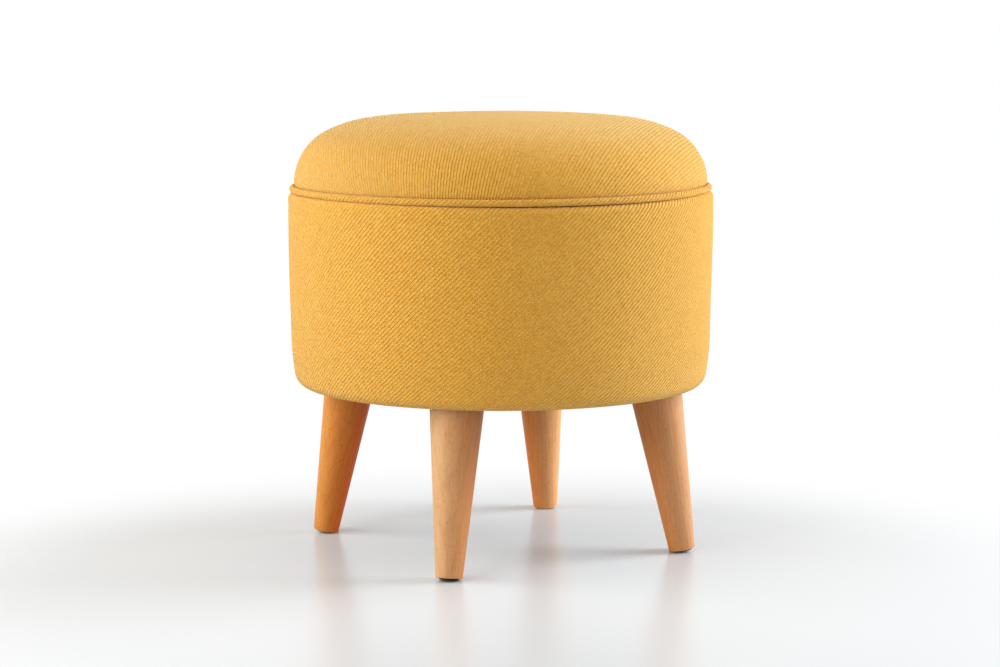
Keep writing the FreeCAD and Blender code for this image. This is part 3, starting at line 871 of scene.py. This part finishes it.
def turned_leg(side):
    edge = 0.001
    line = Profile(0.0, 0.0).line(LEG_RADIUS - edge, 0.0, 4)
    line.arc((LEG_RADIUS - edge, -edge), 0.0, 5)
    line.line(FOOT_RADIUS, edge - LEG_LENGTH, 24)
    line.arc((FOOT_RADIUS - edge, edge - LEG_LENGTH), -90.0, 5).line(0.0, -LEG_LENGTH, 4)
    bm = line.turned(96)
    bmesh.ops.transform(bm, matrix=leg_seat(side), verts=bm.verts)
    make(f"leg_{side}_turned", bm, beech(side, *LEG_WOOD[side]), "drum", "beech", f"leg_{side}")


def cross_screw(bm, place, twist, head, shank, length):
    """A countersunk screw that points up from the flat of its head, with a cross recess."""
    seat = Matrix.Translation(place) @ Matrix.Rotation(twist, 4, "Z")
    rim = bmesh.ops.create_circle(bm, segments=24, radius=head, matrix=seat)["verts"]
    rim_edges = list(dict.fromkeys(edge for vert in rim for edge in vert.link_edges))
    arm, half = head * 0.58, head * 0.13
    corners = []
    for quarter in range(4):
        turn = Matrix.Rotation(quarter * math.pi / 2, 4, "Z")
        for point in ((arm, -half, 0.0), (arm, half, 0.0), (half, half, 0.0)):
            corners.append(bm.verts.new(seat @ turn @ Vector(point)))
    slot_edges = [bm.edges.new((corners[n - 1], corners[n])) for n in range(12)]
    bmesh.ops.bridge_loops(bm, edges=rim_edges + slot_edges)

    def draw_up(edges, height, scale):
        made = bmesh.ops.extrude_edge_only(bm, edges=edges)["geom"]
        verts = [item for item in made if isinstance(item, bmesh.types.BMVert)]
        about = Matrix.Translation(-Vector(place))
        bmesh.ops.scale(bm, vec=(scale, scale, 1.0), space=about, verts=verts)
        bmesh.ops.translate(bm, vec=(0.0, 0.0, height), verts=verts)
        return [item for item in made if isinstance(item, bmesh.types.BMEdge)
                and all(vert in verts for vert in item.verts)]

    floor = draw_up(slot_edges, head * 0.5, 0.6)
    bmesh.ops.edgeloop_fill(bm, edges=floor)
    neck = draw_up(rim_edges, head - shank, shank / head)
    end = draw_up(neck, length - head + shank, 1.0)
    bmesh.ops.edgeloop_fill(bm, edges=end)


def screws(name, node, body, places, head, shank, length):
    bm = bmesh.new()
    for number, place in enumerate(places):
        cross_screw(bm, place, number * 0.7, head, shank, length)
    bmesh.ops.recalc_face_normals(bm, faces=bm.faces)
    make(name, bm, zinc_finish, body, "zinc_steel", node, smooth=False)


zinc_finish = zinc("zinc_steel", (0.72, 0.73, 0.72), 0.36)
plate_screw_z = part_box("plate_screws")[0].z
plate_screw_off = 0.017          # each way from the middle of the leg plate
plug_screw_proud = 0.0003        # the heads stand out of the plug's cloth
plug_screw_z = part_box("lid_plug_screws")[0].z - plug_screw_proud
plug_screw_circle = 0.09
plate_screw_places = [
    Matrix.Rotation(math.radians(angle), 3, "Z") @ Vector((LEG_CIRCLE + across, along, plate_screw_z))
    for angle in LEG_ANGLES.values()
    for across in (-plate_screw_off, plate_screw_off)
    for along in (-plate_screw_off, plate_screw_off)]
plug_screw_places = [
    Matrix.Rotation(math.radians(angle), 3, "Z") @ Vector((plug_screw_circle, 0.0, plug_screw_z))
    for angle in LEG_ANGLES.values()]

lid_cover()
drum_cover()
lid_piping()
piping_cord()
stepped_cloth("lid_lining_cloth", "lid_lining", "lid", "lining_cloth", lining_finish,
              step_from=0.1565, step_to=0.171, thickness=LINING)
stepped_cloth("dust_cover_cloth", "dust_cover", "drum", "dust_cloth", dust_finish,
              step_from=0.101, step_to=0.111, thickness=0.0008)
floor_lining()
plug_cloth()
wall_lining()
for side in LEG_ANGLES:
    turned_leg(side)
screws("plate_screws_cross", "plate_screws", "drum", plate_screw_places,
       head=0.004, shank=0.002, length=0.015)
screws("lid_plug_screws_cross", "lid_plug_screws", "lid", plug_screw_places,
       head=0.005, shank=0.0025, length=0.03)

# Finishes of the CAD nodes that show as they are, or lie inside

cad_finishes = {
    "wadding": (wadding(), ["lid_wadding"]),
    "foam": (open_foam(), ["lid_foam", "drum_foam"]),
    "plywood": (plywood(), ["lid_board", "lid_plug_board", "top_ring", "base_board"]),
    "pine": (planed_pine(), [f"frame_post_{number}" for number in range(1, 7)]),
    "hardboard": (hardboard(), ["drum_wall"]),
    "zinc_steel": (zinc_finish,
                   [f"leg_plate_{side}" for side in LEG_ANGLES] + ["hanger_bolts", "frame_screws"]),
    "staple_steel": (zinc("staple_steel", (0.66, 0.66, 0.66), 0.3),
                     ["lid_cover_staples", "lid_lining_staples", "cover_staples", "dust_cover_staples",
                      "ring_staples", "wall_staples"]),
    "glide_plastic": (glide_plastic(), [f"foot_glide_{side}" for side in LEG_ANGLES]),
}
for slot, (finish, names) in cad_finishes.items():
    for name in names:
        node = cad_nodes[name]
        node.data.materials.clear()
        node.data.materials.append(finish)


# Floor, light and camera

def studio_floor():
    """A pale satin floor that fades to white round a middle that lies a little nearer the camera."""
    bm = bmesh.new()
    bmesh.ops.create_grid(bm, x_segments=1, y_segments=1, size=12.0)
    mesh = bpy.data.meshes.new("floor")
    bm.to_mesh(mesh)
    bm.free()
    floor = bpy.data.objects.new("floor", mesh)
    scene.collection.objects.link(floor)
    look = Finish("floor")
    nearer, fade_from, fade_to = 0.2, 0.38, 0.64
    x, y, _ = look.split(look.place())
    x = x - nearer * math.cos(camera_angle)
    y = y - nearer * math.sin(camera_angle)
    away = look.maths("SQRT", x * x + y * y)
    pale = look.node("ShaderNodeBsdfPrincipled", inputs={
        "Base Color": (0.628, 0.652, 0.694), "Roughness": 0.24, "Specular IOR Level": 0.22})
    white = look.node("ShaderNodeEmission", inputs={"Color": (1.0, 1.0, 1.0), "Strength": 1.0})
    fade = look.smooth(away, fade_from, fade_to) * look.seen()
    top = look.node("ShaderNodeMixShader", inputs={0: fade, 1: pale, 2: white})
    clear = look.node("ShaderNodeBsdfTransparent")
    below = look.node("ShaderNodeNewGeometry", output="Backfacing")
    shader = look.node("ShaderNodeMixShader", inputs={0: below, 1: top, 2: clear})
    look.node("ShaderNodeOutputMaterial", inputs={"Surface": shader})
    mesh.materials.append(look.material)


def studio_world(fill):
    """Even soft fill, with white where the camera, gloss or glass sees the background."""
    world = bpy.data.worlds.new("studio")
    scene.world = world
    world.use_nodes = True
    sky = Nodes(world.node_tree)
    seen = sky.seen()
    background = sky.node("ShaderNodeBackground", inputs={
        "Color": sky.mix(seen, (1.0, 0.965, 0.9), (1.0, 1.0, 1.0)),
        "Strength": fill + seen * (1.0 - fill)})
    sky.node("ShaderNodeOutputWorld", inputs={"Surface": background})


BOX_DISTANCE = 1.7
BOX_TALL = 1.5
AIM_HEIGHT = 0.25


def soft_box(name, bearing, height, width, energy, colour):
    """A soft box aimed at the pouf. Bearings run to the right of the camera's own."""
    light = bpy.data.lights.new(name, "AREA")
    light.shape = "RECTANGLE"
    light.size = width
    light.size_y = BOX_TALL
    light.energy = energy
    light.color = colour
    lamp = bpy.data.objects.new(name, light)
    scene.collection.objects.link(lamp)
    angle = camera_angle + math.radians(bearing)
    lamp.location = (BOX_DISTANCE * math.cos(angle), BOX_DISTANCE * math.sin(angle), height)
    aim = Vector((0.0, 0.0, AIM_HEIGHT)) - lamp.location
    lamp.rotation_euler = aim.to_track_quat("-Z", "Y").to_euler()


camera_angle = math.radians(240.08)
camera_distance = 2.33098
camera_height = 0.4869
camera_pitch = math.radians(7.012)
camera_yaw = 0.00026             # off the pouf's axis
camera = bpy.data.objects.new("camera", bpy.data.cameras.new("camera"))
scene.collection.objects.link(camera)
scene.camera = camera
camera.data.sensor_width = 36.0
camera.data.lens = 89.293
camera.location = (
    camera_distance * math.cos(camera_angle), camera_distance * math.sin(camera_angle), camera_height)
camera.rotation_euler = (math.pi / 2 - camera_pitch, 0.0, camera_angle + math.pi / 2 + camera_yaw)

studio_floor()
studio_world(fill=0.5)
soft_box("left_box", bearing=-88.0, height=0.9, width=1.2, energy=23.3, colour=(1.0, 0.99, 0.88))
soft_box("front_box", bearing=-49.0, height=1.1, width=1.2, energy=16.9, colour=(1.0, 0.98, 0.95))
soft_box("right_box", bearing=98.0, height=0.9, width=1.1, energy=45.0, colour=(0.965, 1.0, 1.0))

scene.view_settings.view_transform = "Standard"

bpy.context.view_layer.update()
